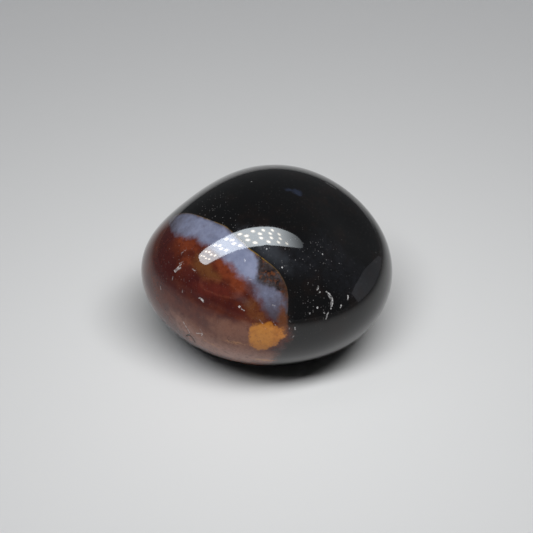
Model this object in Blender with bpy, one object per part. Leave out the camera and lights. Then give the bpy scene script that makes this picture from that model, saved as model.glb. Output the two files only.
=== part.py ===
"""A tumbled sardonyx: one rounded and polished stone, lying on the flat worn on its underside.

Frame: +Z up, +X towards the rounder end, +Y towards the back. The origin is on the surface
that the stone lies on, under the middle of the stone's box. Lengths are in metres.
"""

import math

import bmesh
import bpy
from mathutils import Vector

MM = 0.001

# Driving dimensions: the half sizes of the pebble before its flats are worn
HALF_LENGTH = 16.1 * MM
HALF_WIDTH = 14.95 * MM
HALF_HEIGHT = 10.7 * MM

# Broad flats, where the broken faces of the rough piece have been worn down. Each has the way
# that it faces, as a turn from +X towards +Y and a rise above the horizon in degrees, and the
# share of the radius that it has lost in its middle
WORN_FLATS = {
    "left shoulder at the back": (143.0, 28.0, 0.155),
    "right shoulder": (-1.0, 44.0, 0.229),
    "left side at the front": (-129.0, 11.0, 0.118),
    "right side": (-14.0, 4.0, 0.043),
    "lower back": (75.0, -20.0, 0.06),
}
# How far a flat spreads round the stone: 1 - cos of the angle at which it has faded to 1/e
FLAT_SPREAD = 0.22

# The face that it rests on is where this much of the underside is worn away
RESTING_WEAR = 0.4 * MM

# Each step makes four triangles of one. Five give 5120 of them, about 1 mm across
MESH_STEPS = 5

SARD_BROWN = (0.045, 0.018, 0.014, 1.0)
POLISH_ROUGHNESS = 0.08


def clear_scene():
    for old in list(bpy.data.objects):
        bpy.data.objects.remove(old)


def facing(turn, rise):
    """The unit vector that points that many degrees round from +X and above the horizon."""
    turn, rise = math.radians(turn), math.radians(rise)
    return Vector((math.cos(rise) * math.cos(turn), math.cos(rise) * math.sin(turn), math.sin(rise)))


def worn_radius(way):
    """The share of the radius that is left in this direction, after all the flats."""
    left = 1.0
    for turn, rise, lost in WORN_FLATS.values():
        away = 1.0 - way.dot(facing(turn, rise))
        left -= lost * math.exp(-away / FLAT_SPREAD)
    return left


def pebble_point(way):
    """Where the pebble's surface lies in this direction from its middle."""
    half_sizes = Vector((HALF_LENGTH, HALF_WIDTH, HALF_HEIGHT))
    return way * half_sizes * worn_radius(way)


def wear_resting_face(bm):
    """Cuts the lowest sliver off level and closes the cut with one flat face."""
    lowest = min(v.co.z for v in bm.verts)
    cut = bmesh.ops.bisect_plane(
        bm,
        geom=bm.verts[:] + bm.edges[:] + bm.faces[:],
        plane_co=(0.0, 0.0, lowest + RESTING_WEAR),
        plane_no=(0.0, 0.0, -1.0),
        clear_outer=True,
    )
    rim = [edge for edge in cut["geom_cut"] if isinstance(edge, bmesh.types.BMEdge)]
    bmesh.ops.contextual_create(bm, geom=rim)


def stand_on_origin(bm):
    """Puts the resting face at z = 0, with the middle of the stone's box over the origin."""
    low = [min(v.co[axis] for v in bm.verts) for axis in range(3)]
    high = [max(v.co[axis] for v in bm.verts) for axis in range(3)]
    middle = Vector(((low[0] + high[0]) / 2, (low[1] + high[1]) / 2, low[2]))
    bmesh.ops.translate(bm, verts=bm.verts[:], vec=-middle)


def polished_sardonyx():
    """The finish of the whole stone: near black and brown, with a wet polish."""
    material = bpy.data.materials.new("polished_sardonyx")
    material.use_nodes = True
    shader = material.node_tree.nodes["Principled BSDF"]
    shader.inputs["Base Color"].default_value = SARD_BROWN
    shader.inputs["Roughness"].default_value = POLISH_ROUGHNESS
    shader.inputs["Metallic"].default_value = 0.0
    return material


def make_stone(collection):
    bm = bmesh.new()
    bmesh.ops.create_icosphere(bm, subdivisions=MESH_STEPS, radius=1.0)
    for vertex in bm.verts:
        vertex.co = pebble_point(vertex.co.normalized())
    wear_resting_face(bm)
    stand_on_origin(bm)
    mesh = bpy.data.meshes.new("stone")
    bm.to_mesh(mesh)
    bm.free()
    mesh.shade_smooth()
    mesh.materials.append(polished_sardonyx())
    stone = bpy.data.objects.new("stone", mesh)
    collection.objects.link(stone)
    return stone


def main():
    clear_scene()
    collection = bpy.data.collections.new("tumbled_sardonyx")
    bpy.context.scene.collection.children.link(collection)
    make_stone(collection)


main()
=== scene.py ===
# %% [markdown]
# # A tumbled sardonyx
# Sardonyx is chalcedony in layers: brown sard and black or pale onyx, laid down one on another
# in a crack of the rock. A broken piece is turned for weeks in a drum with finer and finer
# grit, which rounds it, wears its broken faces to broad flats and gives it a wet polish.
# The stone here is one piece. Its shape comes from the solid in the frame. This script gives it
# a fine smooth skin, its layers and stains, and the small flaws of its polish.

# %% Load the solid
import math

import bmesh
import bpy
import numpy as np
from mathutils import Matrix, Vector
from mathutils.bvhtree import BVHTree


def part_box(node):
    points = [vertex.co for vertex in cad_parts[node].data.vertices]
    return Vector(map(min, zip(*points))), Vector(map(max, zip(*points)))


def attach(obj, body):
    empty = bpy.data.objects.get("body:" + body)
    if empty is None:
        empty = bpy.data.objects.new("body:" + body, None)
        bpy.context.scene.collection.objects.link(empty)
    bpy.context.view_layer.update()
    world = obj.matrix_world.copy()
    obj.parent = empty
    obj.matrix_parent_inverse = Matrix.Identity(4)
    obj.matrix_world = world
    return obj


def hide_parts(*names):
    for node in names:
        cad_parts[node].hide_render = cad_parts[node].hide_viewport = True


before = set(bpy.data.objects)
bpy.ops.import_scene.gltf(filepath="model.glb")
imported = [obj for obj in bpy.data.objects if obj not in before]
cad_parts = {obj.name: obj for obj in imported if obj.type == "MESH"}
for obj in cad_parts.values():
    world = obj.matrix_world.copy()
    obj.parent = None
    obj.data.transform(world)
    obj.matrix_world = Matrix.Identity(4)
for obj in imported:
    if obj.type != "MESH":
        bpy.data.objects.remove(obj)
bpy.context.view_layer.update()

MM = 0.001
LOWEST, HIGHEST = (Vector(corner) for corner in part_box("stone"))
MIDDLE = (LOWEST + HIGHEST) / 2
print("solid, mm:", [round(side / MM, 2) for side in HIGHEST - LOWEST])

# %% [markdown]
# ## Places on a stone
# A pebble has no edges or corners to measure from, so places on it are given as on a globe: how
# far round from the +X end, turning towards the back, and how far up or down from the waist,
# both in degrees as seen from the stone's middle. One degree is about a quarter of a millimetre.
# A ray from the middle finds where the surface lies in that direction.

# %% Find places on the surface
MERGE_WITHIN = 0.001 * MM

solid_bm = bmesh.new()
solid_bm.from_mesh(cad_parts["stone"].data)
bmesh.ops.remove_doubles(solid_bm, verts=solid_bm.verts, dist=MERGE_WITHIN)
surface = BVHTree.FromBMesh(solid_bm)
solid_bm.free()


def facing(turn, rise):
    """The unit vector that many degrees round from +X and above the waist."""
    turn, rise = math.radians(turn), math.radians(rise)
    across = math.cos(rise)
    return Vector((across * math.cos(turn), across * math.sin(turn), math.sin(rise)))


def place(turn, rise):
    """The point of the surface that lies that way from the stone's middle."""
    return surface.ray_cast(MIDDLE, facing(turn, rise))[0]


print("top of the stone, mm:", round(place(0, 90).z / MM, 2))

# %% [markdown]
# ## The skin
# A polished surface mirrors the room, and a mirror shows every facet. The solid's triangles are
# 1 mm across, so its reflections would have corners in them. Subdividing it would keep the old
# edges' pattern and pull the form in. So the skin is a new, even ball of much finer triangles.
# Each of its points is moved out to the solid, and the whole is then relaxed a little, which
# melts the facets away. Relaxing also shrinks it by a hair, so it is grown back to the solid's
# length, width and height. No point ends up more than a tenth of a millimetre from the solid.

# %% Wrap a fine ball over the solid
BALL_STEPS = 7
RELAXING_PASSES = 40


def relax(bm, verts, passes):
    """Moves each of these points half way to the average of its neighbours, several times."""
    for _ in range(passes):
        bmesh.ops.smooth_vert(
            bm, verts=verts, factor=0.5, use_axis_x=True, use_axis_y=True, use_axis_z=True
        )


skin_bm = bmesh.new()
bmesh.ops.create_icosphere(skin_bm, subdivisions=BALL_STEPS, radius=1.0)
for vertex in skin_bm.verts:
    vertex.co = surface.ray_cast(MIDDLE, vertex.co.normalized())[0]
relax(skin_bm, skin_bm.verts[:], RELAXING_PASSES)
print("skin:", len(skin_bm.faces), "triangles")

# %% Grow it back to the solid's size
def size_of(bm):
    """The sides of the box round all its points."""
    low = [min(vertex.co[axis] for vertex in bm.verts) for axis in range(3)]
    high = [max(vertex.co[axis] for vertex in bm.verts) for axis in range(3)]
    return Vector(high) - Vector(low)


solid_size, shrunk_size = HIGHEST - LOWEST, size_of(skin_bm)
regrow = Vector([solid_size[axis] / shrunk_size[axis] for axis in range(3)])
on_the_floor = Matrix.Translation(-Vector((MIDDLE.x, MIDDLE.y, LOWEST.z)))
bmesh.ops.scale(skin_bm, verts=skin_bm.verts, vec=regrow, space=on_the_floor)
print("grown back by:", [round(share, 4) for share in regrow])

furthest = max(surface.find_nearest(vertex.co)[3] for vertex in skin_bm.verts)
print("the skin is at most", round(furthest / MM, 3), "mm from the solid")

# %% [markdown]
# ## Flaws of the polish
# Chalcedony breaks like glass. The drum leaves small crescent cracks, pits where a grain was
# plucked out, and a few scratches that the last grit didn't reach. A bump in the material could
# fake them, but it would vanish from the side. They are real dents here, so they catch the light
# from everywhere. Each is a short path over the surface with a half width and a depth; a pit is
# a path of one place. Most are frosted white inside. A chip and a hairline crack low on the left
# look dark instead. The skin is split finer only round them, which keeps it light.

# %% List the flaws: their half width and depth in mm, and their path
FLAWS = {
    "crescent crack": (
        0.085, 0.10, (-58.2, 18.2), (-56.9, 16.4), (-56.4, 14.1), (-57.0, 12.1), (-58.4, 10.2),
    ),
    "lip of the crescent": (
        0.07, 0.035, (-58.0, 16.6), (-57.3, 14.8), (-57.3, 13.3), (-58.4, 11.4),
    ),
    "foot of the crescent": (0.075, 0.04, (-60.1, 8.8), (-61.0, 7.9), (-61.8, 6.2)),
    "scratch above the chip": (
        0.06, 0.04, (-135.6, -5.8), (-134.5, -7.5), (-132.9, -9.4), (-132.3, -11.2),
    ),
    "scratch right of the chip": (0.07, 0.04, (-127.5, -9.1), (-123.7, -7.5), (-124.6, -9.3)),
    "nick over that scratch": (0.05, 0.03, (-125.1, -5.2), (-123.9, -7.1)),
    "knock on the left": (0.17, 0.08, (-147.4, 17.6), (-146.6, 19.4), (-145.6, 20.6)),
    "top of the knock": (0.08, 0.06, (-146.8, 20.4), (-145.6, 22.7)),
    "streak over the knock": (0.06, 0.03, (-147.2, 21.9), (-145.5, 24.1)),
    "short nick below the knock": (0.07, 0.03, (-147.4, 14.1), (-147.0, 12.7)),
    "faint nick higher up": (0.06, 0.03, (-149.7, 27.0), (-148.8, 29.2)),
    "nick left of the olive": (0.07, 0.03, (-137.4, 23.7), (-134.9, 23.8)),
    "nick at the left edge": (0.06, 0.03, (-153.3, 5.5), (-152.3, 4.0)),
    "nick over the belt": (0.07, 0.04, (-139.1, 11.3), (-138.5, 9.9)),
    "second nick over the belt": (0.05, 0.03, (-133.4, 13.6), (-133.3, 12.3)),
    "flat nick in the belt": (0.13, 0.07, (-127.0, 11.6), (-125.7, 11.2), (-124.9, 10.7)),
    "start of that nick": (0.07, 0.04, (-128.1, 11.3), (-127.2, 11.9)),
    "nick below the rust": (0.12, 0.07, (-104.4, 14.0), (-103.8, 13.6)),
    "end of that nick": (0.06, 0.04, (-103.1, 12.9), (-101.4, 12.4)),
    "nick by the ochre": (0.05, 0.03, (-93.5, 8.7), (-92.0, 6.9)),
    "nick over the ochre": (0.045, 0.02, (-87.0, 8.4), (-85.8, 6.4)),
    "speck above right of the ochre": (0.06, 0.02, (-79.3, 8.4), (-78.7, 8.0)),
    "speck right of the ochre": (0.07, 0.03, (-76.9, 5.0), (-76.8, 3.9)),
    "second speck right of it": (0.05, 0.02, (-79.4, 5.2), (-79.6, 4.2)),
    "speck below right of the ochre": (0.06, 0.02, (-77.6, 0.4), (-78.0, -0.4)),
    "nick in the blue": (0.05, 0.03, (-105.8, 38.5), (-105.0, 36.8)),
    "nick at the waist of the blue": (0.05, 0.03, (-100.7, 28.3), (-99.0, 28.2)),
    "nick low in the blue": (0.05, 0.03, (-87.1, 16.4), (-85.7, 16.0)),
    "pit above the crescent": (0.09, 0.05, (-61.6, 21.6), (-63.0, 20.4)),
    "pit beside it": (0.10, 0.06, (-61.9, 19.0)),
    "pit left of the crescent": (0.12, 0.07, (-65.1, 12.6)),
    "pit further left": (0.11, 0.06, (-69.2, 10.7)),
    "pit at the lower left": (0.10, 0.06, (-62.1, 9.4)),
    "pit right of the crescent": (0.09, 0.06, (-53.3, 8.9), (-52.6, 9.8)),
    "pair of pits on the right": (0.085, 0.05, (-47.2, 12.2), (-47.9, 10.6)),
    "pit in the black above": (0.09, 0.05, (-48.6, 35.0)),
    "pit to its right": (0.08, 0.04, (-41.5, 26.5)),
    "pit near the edge of the black": (0.09, 0.05, (-80.1, 34.6)),
    "pit in the gold line": (0.07, 0.04, (-90.2, 45.6)),
    "pit on the crown": (0.08, 0.04, (121.5, 70.5)),
    "pit on the back": (0.12, 0.07, (70.0, 22.0)),
    "second pit on the back": (0.09, 0.05, (74.0, 18.5)),
    "crescent on the back": (
        0.11, 0.08, (112.0, 8.0), (114.5, 10.5), (118.0, 11.5), (121.5, 10.6),
    ),
    "scratch on the back": (0.05, 0.03, (38.0, 31.0), (44.0, 35.0)),
    "pit at the right end": (0.11, 0.06, (8.0, -12.0)),
}
# The dark ones, which have no frost in them
CRACKS = {
    "chip under the left side": (
        0.12, 0.14, (-135.1, -15.1), (-132.7, -13.0), (-130.9, -14.6), (-130.5, -17.7),
    ),
    "hairline beside the ochre": (
        0.04, 0.03, (-109.8, -4.6), (-109.0, -6.4), (-106.4, -7.0), (-103.6, -6.8),
    ),
}
DENTS = FLAWS | CRACKS
print("flaws:", len(FLAWS), "cracks:", len(CRACKS))

# %% Split the skin finer round the flaws
FINE_ROUNDS = 2
FINE_MARGIN = 0.35 * MM
FINE_PASSES = 10


def positions(verts):
    return np.array([vertex.co for vertex in verts])


def nearest_on_path(points, path):
    """How far each point is from the nearest point of a path of places, in metres."""
    corners = [np.array(place(turn, rise)) for turn, rise in path]
    nearest = np.linalg.norm(points - corners[0], axis=1)
    for start, end in zip(corners, corners[1:]):
        along = end - start
        share = np.clip((points - start) @ along / (along @ along), 0.0, 1.0)
        offset = points - start - share[:, None] * along
        nearest = np.minimum(nearest, np.linalg.norm(offset, axis=1))
    return nearest


def near_flaws(verts):
    """Those of these vertices that are inside a flaw or close to its rim."""
    points = positions(verts)
    near = np.zeros(len(points), dtype=bool)
    for half_width, _, *path in DENTS.values():
        near |= nearest_on_path(points, path) < half_width * MM + FINE_MARGIN
    return [vertex for vertex, chosen in zip(verts, near) if chosen]


for _ in range(FINE_ROUNDS):
    close = set(near_flaws(skin_bm.verts))
    edges = [edge for edge in skin_bm.edges if not close.isdisjoint(edge.verts)]
    bmesh.ops.subdivide_edges(skin_bm, edges=edges, cuts=1, use_grid_fill=True)
    bmesh.ops.triangulate(skin_bm, faces=[face for face in skin_bm.faces if len(face.verts) > 3])
    relax(skin_bm, near_flaws(skin_bm.verts), FINE_PASSES)
print("skin:", len(skin_bm.faces), "triangles")

# %% Press the flaws into the skin
# A flaw this many mm deep is fully white inside, and a shallower one is fainter
WHITE_FROM = 0.06
SPREAD_OF_WHITENESS = 0.12

points = positions(skin_bm.verts)
inward = np.array(MIDDLE) - points
inward /= np.linalg.norm(inward, axis=1)[:, None]
rims = {"flaw_rim": np.full(len(points), -1.0), "crack_rim": np.full(len(points), -1.0)}
whiteness = np.zeros(len(points))
for name, (half_width, depth, *path) in DENTS.items():
    reach = nearest_on_path(points, path) / MM
    bowl = np.clip(1.0 - (reach / half_width) ** 2, 0.0, 1.0) ** 2
    points += inward * (depth * bowl * MM)[:, None]
    rim = "flaw_rim" if name in FLAWS else "crack_rim"
    rims[rim] = np.maximum(rims[rim], half_width - reach)
    whiteness[reach < half_width + SPREAD_OF_WHITENESS] = min(1.0, depth / WHITE_FROM)
for vertex, point in zip(skin_bm.verts, points):
    vertex.co = point
print("points inside a flaw:", int((rims["flaw_rim"] > 0.0).sum()))

# %% [markdown]
# ## Layers
# The layers are nearly flat sheets that run through the whole stone. Painting them on one side
# at a time would leave joins on the back. Instead, one direction and a height along it, the
# level, say which layer a point is in, so each sheet comes out again on the far side by itself.
# The pole of that direction is low on the front left. From there inwards come rust-brown sard, a
# pale blue-grey layer, a thin gold line, and the black that makes up the rest. The sheets wave a
# little, so each boundary's level is given at several bearings round the pole, and drawn smoothly
# between them.

# %% Work out each point's level and bearing
POLE = np.array(facing(-132.0, 8.0))
UP_FROM_POLE = np.array((0.0, 0.0, 1.0)) - POLE * POLE[2]
UP_FROM_POLE /= np.linalg.norm(UP_FROM_POLE)
ACROSS_POLE = np.cross(UP_FROM_POLE, POLE)

from_middle = (points - np.array(MIDDLE)) / MM
level = from_middle @ POLE
bearing = np.degrees(np.arctan2(from_middle @ ACROSS_POLE, from_middle @ UP_FROM_POLE))
print("levels, mm:", round(level.min(), 2), "to", round(level.max(), 2))

# %% Draw the boundaries of the layers
# Bearing in degrees, clockwise from the top as seen from outside: level in mm
EDGE_OF_BLACK = {
    -66: 7.3, -59: 7.15, -49: 7.41, -37: 7.76, -27: 7.99, -16: 8.08, -2: 8.01, 7: 8.17, 17: 8.32,
    26: 8.45, 30: 8.44, 36: 8.3, 43: 8.15, 49: 7.94, 54: 7.81, 61: 7.85, 66: 7.98, 70: 8.17,
    75: 8.46, 79: 8.66, 83: 8.86, 88: 8.91, 92: 8.78, 96: 8.76, 102: 8.96, 107: 9.1, 117: 8.8,
    126: 8.0, 150: 8.2, 180: 8.5, 210: 8.1, 240: 8.2, 270: 7.8, 285: 7.5,
}
START_OF_BLUE = {
    -66: 7.4, -59: 7.25, -49: 7.5, -37: 7.85, -27: 8.07, -16: 8.15, -2: 8.1, 7: 8.25, 17: 8.4,
    26: 8.52, 32: 8.48, 39: 8.62, 44: 9.0, 49: 9.45, 53: 9.83, 56: 9.87, 60: 9.55, 64: 9.2,
    68: 8.75, 71: 8.4, 74: 8.35, 78: 8.7, 81: 9.2, 85: 9.6, 88: 9.8, 95: 9.9, 126: 9.5, 150: 9.0,
    180: 8.7, 210: 8.3, 240: 8.4, 270: 7.9, 285: 7.6,
}
START_OF_RUST = {
    -66: 7.3, -62: 8.2, -58: 9.2, -54: 9.8, -50: 10.15, -38: 10.33, -24: 10.17, -19: 10.39,
    -7: 10.41, 9: 10.51, 20: 10.64, 42: 10.64, 52: 10.45, 57: 10.35, 60: 10.3, 66: 10.45, 71: 10.5,
    76: 10.5, 81: 10.3, 84: 10.1, 87: 9.7, 89: 8.8, 92: 7.6, 97: 7.0, 124: 6.8, 150: 8.4, 170: 9.8,
    195: 10.1, 215: 9.5, 235: 9.9, 255: 9.2, 270: 8.2, 285: 7.4,
}
# How strongly the gold line shows there, and how far the edge of the black crumbles into grains
GOLD_SHARE = {
    -66: 0.1, -40: 0.35, -20: 0.5, 0: 0.6, 20: 0.9, 43: 1.0, 48: 0.4, 56: 0.2, 64: 0.1, 75: 0.05,
    86: 0.0, 130: 0.0, 170: 0.5, 220: 0.8, 270: 0.3,
}
CRUMBLING = {
    -66: 0.3, -40: 0.1, 0: 0.0, 62: 0.0, 80: 0.1, 88: 0.5, 94: 0.9, 100: 1.0, 130: 1.0, 170: 0.3,
    270: 0.4,
}
# How milky the pale layer is there: 0 is clear slate, 1 is full blue-grey
MILKINESS = {
    -64: 0.1, -56: 0.3, -46: 0.6, -30: 0.75, 0: 0.8, 20: 0.95, 46: 1.0, 53: 0.8, 57: 0.42, 61: 0.45,
    65: 0.60, 70: 0.46, 74: 0.36, 78: 0.22, 82: 0.08, 90: 0.0, 150: 0.5, 210: 0.8, 270: 0.5,
}
SOFTEN_DEGREES = 3


def around(table, bearings):
    """A level at every bearing: straight between the table's entries, then evened out."""
    circle = np.arange(-180, 180)
    known = sorted(table)
    levels = np.interp(circle, known, [table[key] for key in known], period=360)
    window = np.ones(SOFTEN_DEGREES) / SOFTEN_DEGREES
    wrapped = np.concatenate([levels[-SOFTEN_DEGREES:], levels, levels[:SOFTEN_DEGREES]])
    smooth = np.convolve(wrapped, window, mode="same")[SOFTEN_DEGREES:-SOFTEN_DEGREES]
    return np.interp(bearings, circle, smooth, period=360)


layers = {
    "past_black": level - around(EDGE_OF_BLACK, bearing),
    "past_pale": level - around(START_OF_BLUE, bearing),
    "past_rust": level - around(START_OF_RUST, bearing),
    "gold_share": around(GOLD_SHARE, bearing),
    "crumbling": around(CRUMBLING, bearing),
    "milkiness": around(MILKINESS, bearing),
}
for name in ("past_black", "past_pale", "past_rust"):
    print(name, "on", round(100 * float((layers[name] > 0).mean())), "% of the surface")

# %% [markdown]
# ## Stains
# Iron made the colours, and it spread unevenly: patches of maroon, crimson, olive and brown in
# the sard, one slanting ochre spot at the edge of the black, and a smoky haze in the black
# itself. Plain noise would put such patches just anywhere, so each is an oval on the surface: its
# middle, its length and height in mm, and how its length is tilted. A point stores how far inside
# the oval's edge it is, and the material roughens that edge with noise, as the edge of a real
# stain is. One set of ovals low on the front left is no stain: it carries a painted reflection
# of the floor, a pale pink-grey along the rim.

# %% List the stains: their turn and rise, length and height in mm, and tilt
STAINS = {
    "ochre": [
        (-90.3, -0.4, 4.3, 3.0, 28.0), (-93.4, 1.2, 2.4, 2.8, 0.0), (-93.6, -4.2, 2.4, 2.4, 0.0),
        (-89.2, 5.6, 1.5, 1.4, 0.0),
    ],
    "yellow_ochre": [(-93.2, 0.0, 2.8, 4.0, 0.0)],
    "rust_patch": [(-82.6, 8.6, 1.1, 2.9, 0.0)],
    "rust_tongue": [(-82.4, 8.0, 0.9, 3.4, 0.0), (-80.4, 22.6, 0.9, 2.8, 0.0)],
    "ochre_traces": [
        (-91.2, -18.4, 1.9, 0.60, -6.0), (-105.2, -6.6, 1.5, 0.26, 3.0),
        (-119.0, -12.7, 1.2, 0.2, -12.0),
    ],
    "maroon": [
        (-136.0, 18.6, 4.4, 2.6, -10.0), (-157.0, 15.0, 4.4, 4.2, 0.0),
        (-168.0, 26.0, 3.0, 2.4, 0.0),
    ],
    "dark_belt": [
        (-145.0, 9.6, 4.4, 1.2, 8.0), (-127.0, 12.2, 4.6, 1.2, 2.0), (-108.0, 12.0, 3.6, 1.1, -8.0),
        (-124.0, 17.0, 3.2, 1.1, -14.0),
    ],
    "crimson": [(-117.4, 19.6, 3.4, 1.6, 0.0), (-126.0, 16.5, 3.0, 1.4, 0.0)],
    "crimson_loop": [(-117.0, 20.6, 5.0, 1.7, 2.0)],
    "vermilion": [
        (-106.5, 25.4, 2.0, 2.8, 20.0), (-115.5, 31.0, 3.6, 2.2, -20.0),
        (-152.0, 32.0, 3.6, 1.5, 18.0), (-142.0, 22.6, 2.4, 2.6, 0.0),
    ],
    "olive": [(-131.0, 26.5, 3.6, 2.0, -12.0), (-122.5, 25.6, 2.0, 1.2, -20.0)],
    "brown": [
        (-97.9, 15.7, 1.9, 1.4, -30.0), (-94.2, 9.5, 2.2, 1.4, -30.0), (-82.4, 8.6, 0.9, 2.2, 0.0),
    ],
    "beige": [
        (-108.6, -1.4, 5.8, 3.2, -4.0), (-108.0, -14.0, 12.0, 4.4, -6.0),
        (-128.0, -10.0, 6.0, 3.0, -20.0), (-105.0, -9.0, 6.4, 3.4, -4.0),
        (-101.0, -1.0, 2.6, 3.6, 0.0),
    ],
    # Not a stain: a painted reflection of the floor, pale along the lower left rim
    "painted_floor_reflection": [
        (-134.0, -10.0, 5.0, 2.0, -24.0), (-124.0, -15.5, 6.0, 2.6, -12.0),
        (-108.0, -17.0, 8.0, 3.0, -4.0),
    ],
    "slate": [(-99.5, 24.1, 1.5, 1.1, -40.0), (-103.4, 18.4, 1.8, 1.0, -20.0)],
    "blue_spot": [(24.3, 66.8, 1.2, 1.0, 0.0), (30.0, 70.4, 1.2, 0.5, 60.0)],
    "dusty": [
        (-158.0, 56.0, 9.0, 3.0, 0.0), (-70.0, 40.0, 8.0, 3.6, -20.0), (-52.0, 36.0, 5.0, 4.0, 0.0),
        (-66.0, 16.0, 3.0, 5.0, 0.0), (-150.0, 20.0, 6.0, 5.0, 0.0),
    ],
    "haze_by_the_line": [(-90.5, 45.8, 5.6, 1.9, -40.0)],
    "smoke": [
        (-43.5, 31.0, 6.0, 5.4, -30.0), (-40.0, 20.0, 5.0, 5.0, 0.0),
        (-68.0, 36.0, 6.4, 3.4, -20.0),
    ],
    "smoke_on_the_back": [
        (95.0, 12.0, 9.0, 2.4, 12.0), (60.0, -8.0, 8.0, 2.0, 20.0), (88.0, -22.0, 10.0, 2.6, 14.0),
    ],
}
print("kinds of stain:", len(STAINS))

# %% Measure how far inside them each point is
def inside_oval(points, turn, rise, length, height, tilt):
    """How far inside the oval's edge each point is, in mm; negative outside."""
    middle = np.array(place(turn, rise))
    outward = np.array(facing(turn, rise))
    right = np.cross((0.0, 0.0, 1.0), outward)
    right /= np.linalg.norm(right)
    up = np.cross(outward, right)
    lean = math.radians(tilt)
    long_way = right * math.cos(lean) + up * math.sin(lean)
    short_way = up * math.cos(lean) - right * math.sin(lean)
    offset = (points - middle) / MM
    share = np.sqrt(
        (offset @ long_way / (length / 2)) ** 2
        + (offset @ short_way / (height / 2)) ** 2
        + (offset @ outward / max(length, height)) ** 2
    )
    return (1.0 - share) * min(length, height) / 2


for name, ovals in STAINS.items():
    layers[name] = np.max([inside_oval(points, *oval) for oval in ovals], axis=0)
layers.update(rims)
layers["whiteness"] = whiteness
print("painted:", ", ".join(layers))

# %% Store them on the skin
skin_mesh = bpy.data.meshes.new("stone_skin")
skin_bm.to_mesh(skin_mesh)
skin_bm.free()
skin_mesh.shade_smooth()
for name, values in layers.items():
    stored = skin_mesh.attributes.new(name, "FLOAT", "POINT")
    stored.data.foreach_set("value", values.astype(np.float32))
skin = bpy.data.objects.new("stone_skin", skin_mesh)
bpy.context.scene.collection.objects.link(skin)
print("skin vertices:", len(skin_mesh.vertices))

# %% [markdown]
# ## Mixing a material
# A procedural material is a recipe: noise and stored values go through a few sums and become
# masks, and each mask lays one colour over the last. It needs no picture and has no seams.
# Built node by node it would fill pages, so these helpers keep the recipe short. All lengths in
# them are in millimetres on the stone. Each kind of patch has a shift of its own, or else patches
# of different kinds would fall on the same places.

# %% Helpers for the recipe
# The noise that pushes the edge of a stain about
EDGE_DETAIL = 5.0
EDGE_ROUGHNESS = 0.6


class Recipe:
    """A material, with short ways to add to its node tree."""

    def __init__(self, name):
        self.material = bpy.data.materials.new(name)
        self.material.use_nodes = True
        self.tree = self.material.node_tree
        self.shader = self.tree.nodes["Principled BSDF"]
        place_on_stone = self.tree.nodes.new("ShaderNodeTexCoord").outputs["Object"]
        in_mm = self.tree.nodes.new("ShaderNodeVectorMath")
        in_mm.operation = "SCALE"
        in_mm.inputs["Scale"].default_value = 1.0 / MM
        self.tree.links.new(place_on_stone, in_mm.inputs[0])
        self.mm = in_mm.outputs["Vector"]

    def feed(self, socket, value):
        """Links a socket to another node's output, or sets it to a number or colour."""
        if isinstance(value, bpy.types.NodeSocket):
            self.tree.links.new(value, socket)
        else:
            socket.default_value = value

    def stored(self, name):
        """A value that is stored on the skin's points."""
        node = self.tree.nodes.new("ShaderNodeAttribute")
        node.attribute_name = name
        return node.outputs["Fac"]

    def sum(self, operation, *values):
        """One step of arithmetic on numbers or on other nodes' outputs."""
        node = self.tree.nodes.new("ShaderNodeMath")
        node.operation = operation
        for socket, value in zip(node.inputs, values):
            self.feed(socket, value)
        return node.outputs["Value"]

    def product(self, *masks):
        """The masks multiplied together: it shows only where all of them do."""
        result = masks[0]
        for mask in masks[1:]:
            result = self.sum("MULTIPLY", result, mask)
        return result

    def noise(self, size, detail, roughness, shift):
        """Noise from about -0.5 to 0.5, with features this many mm across."""
        node = self.tree.nodes.new("ShaderNodeTexNoise")
        node.noise_dimensions = "4D"
        node.inputs["W"].default_value = shift
        node.inputs["Scale"].default_value = 1.0 / size
        node.inputs["Detail"].default_value = detail
        node.inputs["Roughness"].default_value = roughness
        self.tree.links.new(self.mm, node.inputs["Vector"])
        return self.sum("SUBTRACT", node.outputs["Fac"], 0.5)

    def step(self, value, low, high):
        """0 below low, 1 above high, and a smooth rise between."""
        node = self.tree.nodes.new("ShaderNodeMapRange")
        node.interpolation_type = "SMOOTHSTEP"
        self.feed(node.inputs["Value"], value)
        node.inputs["From Min"].default_value = low
        node.inputs["From Max"].default_value = high
        return node.outputs["Result"]

    def fall(self, value, low, high):
        """1 below low, 0 above high, and a smooth fall between."""
        return self.sum("SUBTRACT", 1.0, self.step(value, low, high))

    def patches(self, low, high, **noise):
        """A mask of soft patches: where the noise is above high, fading out towards low."""
        return self.step(self.noise(**noise), low, high)

    def ragged(self, name, raggedness, size, softness, shift):
        """A mask inside a stored edge, with the edge pushed about by noise of this size."""
        noise = self.noise(size, EDGE_DETAIL, EDGE_ROUGHNESS, shift)
        push = self.sum("MULTIPLY", noise, raggedness)
        return self.step(self.sum("ADD", self.stored(name), push), -softness, softness)

    def lay(self, under, over, *masks, strength=1.0):
        """One colour over another where all the masks show, at this strength."""
        node = self.tree.nodes.new("ShaderNodeMix")
        node.data_type = "RGBA"
        self.feed(node.inputs["Factor"], self.product(*masks, strength))
        self.feed(node.inputs["A"], under)
        self.feed(node.inputs["B"], over)
        return node.outputs["Result"]


sardonyx = Recipe("polished_sardonyx")
print("nodes at the start:", len(sardonyx.tree.nodes))

# %% [markdown]
# ## The black
# The black is a very dark brown glass: clear enough that it shows a smoky blue haze and fine
# dust a little below the surface, and dark enough that the lamp's reflection is what one sees
# first. It could be real glass with haze inside, but that renders slowly and hardly any light
# would come back out of it, so all of it is painted on the skin. It is mixed first, because it
# lies under everything else.

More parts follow.
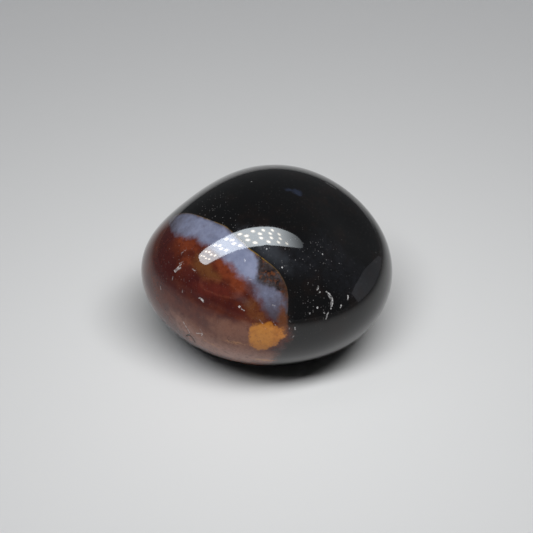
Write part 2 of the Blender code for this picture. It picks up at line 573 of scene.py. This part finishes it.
# %% Mix the black
BLACK = (0.0026, 0.0025, 0.0028, 1.0)
BROWN_BLACK = (0.0075, 0.0042, 0.0034, 1.0)
SMOKE_BLUE = (0.0115, 0.0122, 0.0155, 1.0)
SMOKE_BROWN = (0.0300, 0.0170, 0.0110, 1.0)
SPOT_BLUE = (0.0170, 0.0230, 0.0430, 1.0)
HAZE = (0.0440, 0.0490, 0.0590, 1.0)

cloudy = sardonyx.patches(low=-0.05, high=0.25, size=2.6, detail=4.0, roughness=0.6, shift=1.0)
black = sardonyx.lay(BLACK, BROWN_BLACK, cloudy)
wisps = sardonyx.patches(low=-0.3, high=0.3, size=0.9, detail=6.0, roughness=0.7, shift=3.0)
smoke = sardonyx.ragged("smoke", raggedness=3.0, size=1.6, softness=1.6, shift=2.0)
black = sardonyx.lay(black, SMOKE_BLUE, smoke, wisps)
smoke = sardonyx.ragged("smoke_on_the_back", raggedness=1.6, size=1.2, softness=0.7, shift=4.0)
black = sardonyx.lay(black, SMOKE_BROWN, smoke, wisps)
haze = sardonyx.ragged("haze_by_the_line", raggedness=1.4, size=0.9, softness=0.8, shift=4.5)
black = sardonyx.lay(black, HAZE, haze, strength=0.7)
blue_spot = sardonyx.ragged("blue_spot", raggedness=0.9, size=0.4, softness=0.25, shift=5.0)
black = sardonyx.lay(black, SPOT_BLUE, blue_spot)
print("nodes with the black:", len(sardonyx.tree.nodes))

# %% [markdown]
# ## The pale layer
# Next to the black comes the milky blue-grey layer. Between the two, on the front, is a lens of
# clear brown with rust grains in it. The milky layer could be one flat colour, but it is not
# equally milky all round: where its stored milkiness is low it is nearly clear and looks slate.
# Both its edges are soft, because one sees into it there. Low on the front the edge of the black
# crumbles into grains.

# %% Mix the brown lens
CLEAR_BROWN = (0.042, 0.032, 0.032, 1.0)
DEEP_BROWN = (0.012, 0.008, 0.008, 1.0)
GREY_GRAIN = (0.130, 0.125, 0.150, 1.0)
RUST_GRAIN = (0.170, 0.050, 0.012, 1.0)

hollows = sardonyx.patches(low=-0.10, high=0.20, size=1.0, detail=5.0, roughness=0.6, shift=5.5)
lens = sardonyx.lay(CLEAR_BROWN, DEEP_BROWN, hollows)
grains = sardonyx.patches(low=-0.02, high=0.22, size=0.60, detail=6.0, roughness=0.7, shift=7.0)
lens = sardonyx.lay(lens, GREY_GRAIN, grains, strength=0.6)
grains = sardonyx.patches(low=0.0, high=0.16, size=0.55, detail=6.0, roughness=0.7, shift=6.0)
lens = sardonyx.lay(lens, RUST_GRAIN, grains, strength=0.7)
print("nodes with the lens:", len(sardonyx.tree.nodes))

# %% Mix the pale layer
BLUE_GREY = (0.172, 0.196, 0.300, 1.0)
PALE_BLUE = (0.262, 0.288, 0.414, 1.0)
SLATE = (0.066, 0.052, 0.066, 1.0)
UNEVENNESS = 0.9

milk = sardonyx.patches(low=-0.2, high=0.2, size=1.8, detail=6.0, roughness=0.65, shift=8.0)
pale = sardonyx.lay(BLUE_GREY, PALE_BLUE, milk)
uneven = sardonyx.noise(size=0.9, detail=5.0, roughness=0.65, shift=9.0)
milkiness = sardonyx.sum("MULTIPLY_ADD", uneven, UNEVENNESS, sardonyx.stored("milkiness"))
pale = sardonyx.lay(SLATE, pale, sardonyx.step(milkiness, low=0.0, high=1.0))
print("nodes with the pale layer:", len(sardonyx.tree.nodes))

# %% Lay them over the black
crisp = sardonyx.ragged("past_black", raggedness=0.05, size=0.8, softness=0.03, shift=10.0)
crumbled = sardonyx.ragged("past_black", raggedness=1.2, size=0.55, softness=0.70, shift=10.5)
# Crisp, and crumbled where the stored crumbling says so
crumbs = sardonyx.sum("SUBTRACT", crumbled, crisp)
past_black = sardonyx.sum("MULTIPLY_ADD", sardonyx.stored("crumbling"), crumbs, crisp)
color = sardonyx.lay(black, lens, past_black)
past_pale = sardonyx.ragged("past_pale", raggedness=1.0, size=0.8, softness=0.34, shift=11.0)
color = sardonyx.lay(color, pale, past_pale, past_black)
print("nodes with both laid:", len(sardonyx.tree.nodes))

# %% [markdown]
# ## The sard
# The sard is red-brown, and clear enough to look deep: broad dark clouds lie under sharper
# grains. A single noise has one kind of patch and looks flat. So the sard is built up in that
# order, from broad clouds to stains to grain.

# %% Mix the sard
RUST = (0.106, 0.019, 0.007, 1.0)
DARK_RUST = (0.054, 0.0075, 0.0045, 1.0)
MAROON = (0.053, 0.0070, 0.0075, 1.0)
CRIMSON = (0.125, 0.019, 0.012, 1.0)
VERMILION = (0.205, 0.041, 0.013, 1.0)
OLIVE = (0.150, 0.054, 0.016, 1.0)
BROWN = (0.150, 0.050, 0.016, 1.0)
BEIGE = (0.215, 0.085, 0.048, 1.0)
# The colour of the painted floor reflection on the lower left rim
FLOOR_REFLECTION_PINK = (0.400, 0.220, 0.170, 1.0)
# Each stain's colour, its strength and how soft its edge is, from the lowest to the topmost
SARD_STAINS = {
    "beige": (BEIGE, 0.75, 0.60),
    "vermilion": (VERMILION, 0.75, 0.50),
    "olive": (OLIVE, 0.85, 0.50),
    "maroon": (MAROON, 0.80, 0.60),
    "dark_belt": (MAROON, 0.75, 0.50),
    "crimson": (CRIMSON, 0.70, 0.50),
    "brown": (BROWN, 0.85, 0.50),
    "slate": (SLATE, 0.40, 0.50),
    # A painted reflection of the floor on the lower left rim, laid like a stain
    "painted_floor_reflection": (FLOOR_REFLECTION_PINK, 0.50, 1.10),
}

clouds = sardonyx.patches(low=-0.12, high=0.14, size=2.4, detail=5.0, roughness=0.6, shift=12.0)
sard = sardonyx.lay(RUST, DARK_RUST, clouds)
for name, (stain_color, strength, softness) in SARD_STAINS.items():
    stain = sardonyx.ragged(name, raggedness=1.6, size=0.9, softness=softness, shift=20.0)
    sard = sardonyx.lay(sard, stain_color, stain, strength=strength)
print("nodes with the stains:", len(sardonyx.tree.nodes))

# %% Grain the sard and lay it over the pale layer
LIGHT_GRAIN = (0.260, 0.076, 0.038, 1.0)

wobble = sardonyx.noise(size=1.1, detail=5.0, roughness=0.7, shift=12.5)
wavy = sardonyx.sum("ADD", sardonyx.stored("crimson_loop"), wobble)
on_loop = sardonyx.fall(sardonyx.sum("ABSOLUTE", wavy), low=0.03, high=0.20)
sard = sardonyx.lay(sard, LIGHT_GRAIN, on_loop, strength=0.17)
streaks = sardonyx.patches(low=-0.06, high=0.20, size=0.60, detail=6.0, roughness=0.75, shift=13.0)
sard = sardonyx.lay(sard, DARK_RUST, streaks, strength=0.60)
grain = sardonyx.patches(low=0.04, high=0.24, size=0.34, detail=5.0, roughness=0.75, shift=13.5)
sard = sardonyx.lay(sard, LIGHT_GRAIN, grain, strength=0.32)

past_rust = sardonyx.ragged("past_rust", raggedness=1.2, size=0.9, softness=0.42, shift=14.0)
color = sardonyx.lay(color, sard, past_rust, past_black)
print("nodes with the sard:", len(sardonyx.tree.nodes))

# %% [markdown]
# ## Rust, gold and ochre
# Iron also collects along the boundaries of the layers: as a tongue and a patch of rust beside
# the black, as a gold-brown line a tenth of a millimetre thick where the black ends, and as solid
# ochre. They lie over the layers, so they are laid after them. The line could be a layer with
# two boundaries of its own, but it is simpler to show it wherever the level is close to the
# black's edge. Noise breaks it up, as it is in the stone.

# %% Lay the rust and the gold line over them
DARK_BROWN = (0.034, 0.014, 0.008, 1.0)
GOLD = (0.190, 0.110, 0.016, 1.0)
# How far past the edge of the black the middle of the line is
LINE_MIDDLE = 0.02

tongue = sardonyx.ragged("rust_tongue", raggedness=1.0, size=0.5, softness=0.30, shift=14.5)
mottled = sardonyx.patches(low=-0.14, high=0.16, size=0.8, detail=5.0, roughness=0.7, shift=14.8)
color = sardonyx.lay(color, DARK_BROWN, tongue, past_black, strength=0.70)
color = sardonyx.lay(color, BROWN, tongue, past_black, mottled, strength=0.40)
rusty = sardonyx.ragged("rust_patch", raggedness=0.9, size=0.5, softness=0.25, shift=14.6)
color = sardonyx.lay(color, RUST_GRAIN, rusty, strength=0.55)

past_line = sardonyx.sum("SUBTRACT", sardonyx.stored("past_black"), LINE_MIDDLE)
on_line = sardonyx.fall(sardonyx.sum("ABSOLUTE", past_line), low=0.03, high=0.08)
broken = sardonyx.patches(low=-0.12, high=0.05, size=0.8, detail=3.0, roughness=0.6, shift=15.0)
color = sardonyx.lay(color, GOLD, on_line, broken, sardonyx.stored("gold_share"))
print("nodes with the rust and the line:", len(sardonyx.tree.nodes))

# %% Lay the ochre over them
OCHRE = (0.350, 0.112, 0.008, 1.0)
YELLOW_OCHRE = (0.500, 0.195, 0.022, 1.0)
PALE_OCHRE = (0.520, 0.190, 0.022, 1.0)
DEEP_OCHRE = (0.210, 0.062, 0.010, 1.0)
ORANGE_TRACE = (0.460, 0.205, 0.075, 1.0)

clouds = sardonyx.patches(low=-0.10, high=0.16, size=1.0, detail=5.0, roughness=0.65, shift=16.0)
ochre = sardonyx.lay(OCHRE, PALE_OCHRE, clouds)
yellow = sardonyx.ragged("yellow_ochre", raggedness=1.2, size=0.8, softness=1.2, shift=16.2)
ochre = sardonyx.lay(ochre, YELLOW_OCHRE, yellow, strength=0.75)
grains = sardonyx.patches(low=0.0, high=0.24, size=0.42, detail=5.0, roughness=0.75, shift=16.5)
ochre = sardonyx.lay(ochre, DEEP_OCHRE, grains)
in_ochre = sardonyx.ragged("ochre", raggedness=1.6, size=0.60, softness=0.22, shift=17.0)
color = sardonyx.lay(color, ochre, in_ochre)
traces = sardonyx.ragged("ochre_traces", raggedness=0.9, size=0.35, softness=0.20, shift=18.0)
color = sardonyx.lay(color, ORANGE_TRACE, traces, strength=0.7)
print("nodes with the ochre:", len(sardonyx.tree.nodes))

# %% [markdown]
# ## Dust, frost and polish
# The broken surface inside a flaw is frosted: white and rough. Fine dust does the same on a
# smaller scale all over. Thousands of real grains would weigh the mesh down, so the dust is a
# pattern of cells, some of which have a round speck in them. The rest is as smooth as glass, and
# chalcedony's index of refraction is 1.54, which gives it a gloss a little stronger than window
# glass.

# %% Scatter the dust
FROST = (0.520, 0.510, 0.500, 1.0)
# A speck is at its whitest within this share of its radius
SPECK_CORE = 0.4
# The strength of fine dust everywhere, and how much is added in the dusty places
THIN_DUST, MORE_DUST = 0.05, 0.20


def dust(recipe, spacing, speck, share, shift):
    """Round specks of differing strength: this share of the cells of a 3-D grid have one."""
    shifted = recipe.tree.nodes.new("ShaderNodeVectorMath")
    shifted.operation = "ADD"
    shifted.inputs[1].default_value = (shift, shift, shift)
    recipe.tree.links.new(recipe.mm, shifted.inputs[0])
    cells = recipe.tree.nodes.new("ShaderNodeTexVoronoi")
    cells.inputs["Scale"].default_value = 1.0 / spacing
    recipe.tree.links.new(shifted.outputs["Vector"], cells.inputs["Vector"])
    edge = speck / spacing
    in_speck = recipe.fall(cells.outputs["Distance"], edge * SPECK_CORE, edge)
    chance = recipe.tree.nodes.new("ShaderNodeSeparateColor")
    recipe.tree.links.new(cells.outputs["Color"], chance.inputs["Color"])
    picked = recipe.step(chance.outputs["Red"], 1.0 - share, 1.0)
    return recipe.product(in_speck, picked)


fine_dust = dust(sardonyx, spacing=0.30, speck=0.09, share=0.60, shift=3.0)
coarse_dust = dust(sardonyx, spacing=1.00, speck=0.09, share=0.50, shift=7.0)
dusty = sardonyx.ragged("dusty", raggedness=2.4, size=1.2, softness=0.9, shift=19.7)
dustiness = sardonyx.sum("MULTIPLY_ADD", dusty, MORE_DUST, THIN_DUST)
color = sardonyx.lay(color, FROST, fine_dust, dustiness)
color = sardonyx.lay(color, FROST, coarse_dust, strength=0.22)
print("nodes with the dust:", len(sardonyx.tree.nodes))

# %% Darken the cracks and frost the flaws
CRACK_BROWN = (0.030, 0.010, 0.008, 1.0)
WHITE_FROST = (0.700, 0.690, 0.690, 1.0)

cracked = sardonyx.ragged("crack_rim", raggedness=0.12, size=0.12, softness=0.03, shift=19.9)
color = sardonyx.lay(color, CRACK_BROWN, cracked, strength=0.85)
in_flaw = sardonyx.ragged("flaw_rim", raggedness=0.20, size=0.14, softness=0.03, shift=19.0)
broken = sardonyx.patches(low=-0.13, high=0.07, size=0.22, detail=3.0, roughness=0.7, shift=19.5)
frosted = sardonyx.product(in_flaw, broken, sardonyx.stored("whiteness"))
color = sardonyx.lay(color, WHITE_FROST, frosted, strength=0.75)
sardonyx.feed(sardonyx.shader.inputs["Base Color"], color)
print("nodes with the flaws:", len(sardonyx.tree.nodes))

# %% Finish the polish
POLISH = 0.045
FROSTED = 0.45
# How rough the coarse dust is, as a share of the frost
DUST_ROUGHNESS = 0.3
CHALCEDONY_IOR = 1.54

rough_dust = sardonyx.sum("MULTIPLY", coarse_dust, DUST_ROUGHNESS)
roughened = sardonyx.sum("MAXIMUM", frosted, rough_dust)
roughness = sardonyx.sum("MULTIPLY_ADD", roughened, FROSTED - POLISH, POLISH)
sardonyx.feed(sardonyx.shader.inputs["Roughness"], roughness)
sardonyx.shader.inputs["IOR"].default_value = CHALCEDONY_IOR
sardonyx.shader.inputs["Metallic"].default_value = 0.0
skin_mesh.materials.append(sardonyx.material)
print("nodes in the recipe:", len(sardonyx.tree.nodes))

# %% Put the skin in the frame
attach(skin, "root")
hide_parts("stone")
print("in the frame:", skin.name)

# %% [markdown]
# ## The floor
# A polished dark stone is lit like a spoon: what it mirrors is what one sees. So the surroundings
# are made twice. What is seen and what lights the stone is one set, and what shows in the polish
# is another, as a photographer does with cards. That way each can be set on its own. The floor is
# plain and pale, and a little darker further off: that darkening is painted shade, in place of
# the lamps' light falling off. The floor that the polish mirrors fades to dark sooner, and more
# slowly behind the stone, where it makes the stone's bright upper rim.

# %% Helpers for the stage
ROUND_SEGMENTS = 96


def disc(radius, height=0.0):
    """A flat round face over the origin."""
    bm = bmesh.new()
    bmesh.ops.create_circle(bm, cap_ends=True, segments=ROUND_SEGMENTS, radius=radius)
    bmesh.ops.translate(bm, verts=bm.verts, vec=(0.0, 0.0, height))
    return bm


def stage_piece(name, bm, material):
    mesh = bpy.data.meshes.new(name)
    bm.to_mesh(mesh)
    bm.free()
    mesh.materials.append(material)
    piece = bpy.data.objects.new(name, mesh)
    bpy.context.scene.collection.objects.link(piece)
    print("staged:", name)
    return piece


def only_in_the_polish(piece):
    """Hides a stage piece from everything but mirror reflections."""
    piece.visible_camera = False
    piece.visible_diffuse = False
    piece.visible_shadow = False
    piece.visible_transmission = False


def sides_of(recipe):
    """The X, Y and Z of a place in mm, as a node's outputs."""
    node = recipe.tree.nodes.new("ShaderNodeSeparateXYZ")
    recipe.tree.links.new(recipe.mm, node.inputs["Vector"])
    return node.outputs


# %% Build the floor
FLOOR_RADIUS = 0.6
FLOOR_GREY = (0.865, 0.872, 0.872, 1.0)
# Painted shade: the floor's colour far off, darker in place of the light falling off
FALLOFF_SHADE_GREY = (0.475, 0.480, 0.490, 1.0)
BRIGHTEST_PLACE = (0.0, -5.0, 0.0)
# It darkens between these distances from that place, in mm. The first is below zero, so the
# floor is already darkening at the place itself
DARKENS_FROM, DARKENS_TO = -50.0, 110.0
# The quarter of the floor behind the stone: from nothing to all of it, by how much further
# behind a place is than it is to one side, in mm
BEHIND_FROM, BEHIND_TO = 0.0, 50.0


def fading_floor(name, near_color, far_color, middle, fade_from, fade_to, stretch=0.0):
    """A floor that fades with the distance from a place, over a longer way behind it."""
    recipe = Recipe(name)
    distance = recipe.tree.nodes.new("ShaderNodeVectorMath")
    distance.operation = "DISTANCE"
    distance.inputs[1].default_value = middle
    recipe.tree.links.new(recipe.mm, distance.inputs[0])
    sides = sides_of(recipe)
    further_behind = recipe.sum("SUBTRACT", sides["Y"], recipe.sum("ABSOLUTE", sides["X"]))
    behind = recipe.step(further_behind, BEHIND_FROM, BEHIND_TO)
    shortening = recipe.sum("MULTIPLY_ADD", behind, -stretch, 1.0)
    effective = recipe.product(distance.outputs["Value"], shortening)
    faded = recipe.step(effective, fade_from, fade_to)
    recipe.feed(recipe.shader.inputs["Base Color"], recipe.lay(near_color, far_color, faded))
    recipe.shader.inputs["Roughness"].default_value = 1.0
    return recipe.material


# The floor's colour carries painted shade, darker away from its brightest place
floor_finish = fading_floor(
    "pale_floor", FLOOR_GREY, FALLOFF_SHADE_GREY, BRIGHTEST_PLACE, DARKENS_FROM, DARKENS_TO
)
floor = stage_piece("floor", disc(FLOOR_RADIUS), floor_finish)
floor.visible_glossy = False

# %% Lay the round of floor that the polish mirrors
MIRRORED_RADIUS = 0.30
# It lies this far over the floor, so that the two don't share one plane
MIRRORED_HEIGHT = 0.01 * MM
NEAR_GREY = (0.70, 0.705, 0.71, 1.0)
FADED_GREY = (0.12, 0.122, 0.125, 1.0)
STONE_FOOT = (0.0, 0.0, 0.0)
FADES_FROM, FADES_TO = 30.0, 100.0
# The share by which distances behind the stone count as shorter
STRETCH = 0.65

mirrored_finish = fading_floor(
    "mirrored_floor", NEAR_GREY, FADED_GREY, STONE_FOOT, FADES_FROM, FADES_TO, STRETCH
)
mirrored_disc = disc(MIRRORED_RADIUS, MIRRORED_HEIGHT)
only_in_the_polish(stage_piece("mirrored_floor", mirrored_disc, mirrored_finish))

# %% [markdown]
# ## The light
# Polished stones are lit softly, or else the shadows turn hard and the colours dull. A sky would
# do that too, but it would lie over the whole polish as a veil. Here a long soft lamp in front
# lights the stone and the floor, and a weak broad one above fills the shadows. Neither shows in
# the polish: the next steps make what does.

# %% Hang the soft lamps
def soft_lamp(name, middle, length, width, watts, turn=0.0):
    """A level rectangle of light that shines down and doesn't show in the polish."""
    light = bpy.data.lights.new(name, "AREA")
    light.shape = "RECTANGLE"
    light.size, light.size_y = length, width
    light.energy = watts
    lamp = bpy.data.objects.new(name, light)
    lamp.location = middle
    lamp.rotation_euler = (0.0, 0.0, turn)
    lamp.visible_glossy = False
    bpy.context.scene.collection.objects.link(lamp)
    print("lamp:", name, watts, "W")


LAMP_TURN = math.radians(18.0)
soft_lamp(
    "front_lamp", middle=(0.015, -0.225, 0.50), length=0.62, width=0.18, watts=3.76, turn=LAMP_TURN
)
soft_lamp("fill", middle=(0.0, 0.0, 0.9), length=1.4, width=1.4, watts=0.4)

# %% [markdown]
# ## The card and its bulbs
# The bright strip on the stone is the mirror image of a long lamp with groups of four small bulbs
# in it. The stone bends that image, so the lamp's own shape was worked out from it: each place in
# the strip was followed back along the mirrored ray. It is a flat card, drawn from its front and
# back edges, which glows less towards the right, where the stone sees it at a slant. The bulbs
# are small discs that hang just under it. A picture on the card would be simpler, but discs stay
# sharp and can be moved one by one.

# %% Make the bright card
CARD_MIDDLE = Vector((-0.285, 0.036, 0.60))
CARD_STEPS = 160
CARD_GLOW = 10.4
CARD_COLOR = (0.88, 0.95, 1.0)
# Where it starts and ends to dim, in mm to the right of its middle, and the share that is left
CARD_DIMS_FROM, CARD_DIMS_TO = 300.0, 690.0
CARD_DIMMEST = 0.12
# Metres along the card from its middle: how far in front and behind its edges are there
CARD_EDGES = {
    -0.81: (-0.058, -0.050), -0.79: (-0.098, -0.012), -0.76: (-0.114, 0.020),
    -0.70: (-0.122, 0.054), -0.64: (-0.126, 0.080), -0.56: (-0.126, 0.090),
    -0.35: (-0.124, 0.087), -0.15: (-0.120, 0.075),
    0.0: (-0.110, 0.076), 0.21: (-0.108, 0.086), 0.46: (-0.105, 0.080), 0.57: (-0.090, 0.069),
    0.63: (-0.077, 0.062), 0.67: (-0.055, 0.052), 0.69: (-0.025, 0.035), 0.697: (0.0, 0.012),
}


def unit_strip(steps):
    """A row of this many faces that runs from 0 to 1 both ways, to be drawn to shape."""
    bm = bmesh.new()
    bmesh.ops.create_grid(bm, x_segments=steps, y_segments=1, size=0.5)
    bmesh.ops.translate(bm, verts=bm.verts, vec=(0.5, 0.5, 0.0))
    return bm


def hang_at_lamp(bm, drop):
    """Turns flat work at the origin as the card is, and hangs it that far below the card."""
    bmesh.ops.rotate(bm, verts=bm.verts, matrix=Matrix.Rotation(LAMP_TURN, 3, "Z"))
    bmesh.ops.translate(bm, verts=bm.verts, vec=CARD_MIDDLE - Vector((0, 0, drop)))


def dimming_glow(name, color, glow, axis, dim_from, dim_to, dimmest):
    """A glow that weakens to a share of itself between two places along an axis, in mm."""
    recipe = Recipe(name)
    recipe.shader.inputs["Base Color"].default_value = (0.0, 0.0, 0.0, 1.0)
    recipe.shader.inputs["Emission Color"].default_value = (*color, 1.0)
    dimmed = recipe.step(sides_of(recipe)[axis], dim_from, dim_to)
    strength = recipe.sum("MULTIPLY_ADD", dimmed, glow * (dimmest - 1.0), glow)
    recipe.feed(recipe.shader.inputs["Emission Strength"], strength)
    return recipe.material


def lamp_glow(name, color, glow):
    """The glow of the card and its bulbs."""
    dim_from, dim_to = (CARD_MIDDLE.x / MM + way for way in (CARD_DIMS_FROM, CARD_DIMS_TO))
    return dimming_glow(name, color, glow, "X", dim_from, dim_to, CARD_DIMMEST)


card_bm = unit_strip(CARD_STEPS)
places_along = sorted(CARD_EDGES)
front_edge, back_edge = ([CARD_EDGES[key][side] for key in places_along] for side in (0, 1))
for vertex in card_bm.verts:
    along = np.interp(vertex.co.x, (0.0, 1.0), (places_along[0], places_along[-1]))
    front = np.interp(along, places_along, front_edge)
    back = np.interp(along, places_along, back_edge)
    vertex.co = Vector((along, front + vertex.co.y * (back - front), 0.0))
hang_at_lamp(card_bm, drop=0.0)
card_finish = lamp_glow("lamp_glow", CARD_COLOR, CARD_GLOW)
only_in_the_polish(stage_piece("lamp_card", card_bm, card_finish))

# %% Set the bulbs in it
BULB_COLOR = (1.0, 0.97, 0.91)
BULB_SEGMENTS = 16
# Groups of four bulbs stand at these places along the card, closer together towards the right
BULB_GROUPS = (-0.565, -0.385, -0.172, -0.003, 0.138, 0.254, 0.340, 0.418)
# Each bulb of a group: how far along and across the card it is from there
BULBS = ((0.0, 0.045), (0.042, 0.010), (0.030, -0.033), (0.072, -0.072))
BULB_WIDTH = 0.021
# A bulb's length is this share of the distance between its group and the next
BULB_SHARE = 0.26
# The halo and the core of a bulb: their size, their glow and how far below the card they hang
BULB_PARTS = {"halo": (1.5, 15.5, 0.002), "core": (0.95, 26.0, 0.004)}

gaps = np.abs(np.gradient(BULB_GROUPS))
for part, (size, glow, drop) in BULB_PARTS.items():
    bulbs_bm = bmesh.new()
    for group, gap in zip(BULB_GROUPS, gaps):
        oval = Matrix.Diagonal((gap * BULB_SHARE, BULB_WIDTH, 1.0, 1.0))
        for along, across in BULBS:
            spot = Matrix.Translation((group + along, across, 0.0)) @ oval
            bmesh.ops.create_circle(
                bulbs_bm, cap_ends=True, segments=BULB_SEGMENTS, radius=size / 2, matrix=spot
            )
    hang_at_lamp(bulbs_bm, drop)
    bulb_finish = lamp_glow(f"bulb_{part}_glow", BULB_COLOR, glow)
    only_in_the_polish(stage_piece(f"bulb_{part}", bulbs_bm, bulb_finish))

# %% [markdown]
# ## The window and the room
# The faint pale patch on the right end is the mirror image of a dim window. It could hang far
# away and be large, but a small one close by gives the same image. It is a band that stands on
# the floor round the stone, with its top drawn to the patch's shape. Everything else in the
# polish is the room, which is given one even dim light by the world.

# %% Stand a dim window on the right
WINDOW_DISTANCE = 0.11
WINDOW_STEPS = 24
# Degrees round from +X: how high it reaches there, in mm
WINDOW_TOP = {
    -6: 29.0, 0: 32.5, 7: 35.0, 16: 33.5, 25: 30.5, 31: 26.0, 36: 20.5, 39: 16.0, 41: 9.0,
}
WINDOW_GLOW = 0.39
WINDOW_COLOR = (0.90, 0.92, 1.0)
# It dims between these places towards the back, in mm, to this share
WINDOW_DIMS_FROM, WINDOW_DIMS_TO = 0.0, 65.0
WINDOW_DIMMEST = 0.55

window_bm = unit_strip(WINDOW_STEPS)
turns = sorted(WINDOW_TOP)
tops = [WINDOW_TOP[turn] * MM for turn in turns]
for vertex in window_bm.verts:
    turn = np.interp(vertex.co.x, (0.0, 1.0), (turns[0], turns[-1]))
    foot = facing(turn, 0.0) * WINDOW_DISTANCE
    vertex.co = foot + Vector((0.0, 0.0, vertex.co.y * np.interp(turn, turns, tops)))
window_finish = dimming_glow(
    "window_glow", WINDOW_COLOR, WINDOW_GLOW, "Y", WINDOW_DIMS_FROM, WINDOW_DIMS_TO, WINDOW_DIMMEST
)
only_in_the_polish(stage_piece("window", window_bm, window_finish))

# %% Set the room's own dim light, which shows in the polish and lights nothing
ROOM_COLOR = (0.92, 0.96, 1.0, 1.0)
ROOM_STRENGTH = 0.10

room = bpy.data.worlds.new("room")
room.use_nodes = True
room.node_tree.nodes["Background"].inputs["Color"].default_value = ROOM_COLOR
room.node_tree.nodes["Background"].inputs["Strength"].default_value = ROOM_STRENGTH
room.cycles_visibility.diffuse = False
bpy.context.scene.world = room
bpy.context.scene.view_settings.view_transform = "Standard"
print("room light:", ROOM_STRENGTH)

# %% [markdown]
# ## The camera
# The photograph was taken from in front and 37 degrees up, with a long lens. A wide lens from
# close by would swell the stone's near side. The lens follows from how large the stone is in the
# picture: this many pixels for each millimetre at its middle.

# %% Set the camera
CAMERA_TURN = -90.0
CAMERA_RISE = 37.3
CAMERA_DISTANCE = 421 * MM
PIXELS_PER_MM = 8.421
PICTURE_WIDTH = 533
SENSOR_WIDTH = 36.0
AIM = Vector((-0.045, -0.402, 9.899)) * MM

camera = bpy.data.cameras.new("camera")
camera.sensor_width = SENSOR_WIDTH
camera.lens = SENSOR_WIDTH * PIXELS_PER_MM * (CAMERA_DISTANCE / MM) / PICTURE_WIDTH
camera_object = bpy.data.objects.new("camera", camera)
towards_camera = facing(CAMERA_TURN, CAMERA_RISE)
camera_object.location = AIM + towards_camera * CAMERA_DISTANCE
camera_object.rotation_euler = (-towards_camera).to_track_quat("-Z", "Y").to_euler()
bpy.context.scene.collection.objects.link(camera_object)
bpy.context.scene.camera = camera_object
print("lens, mm:", round(camera.lens, 1))
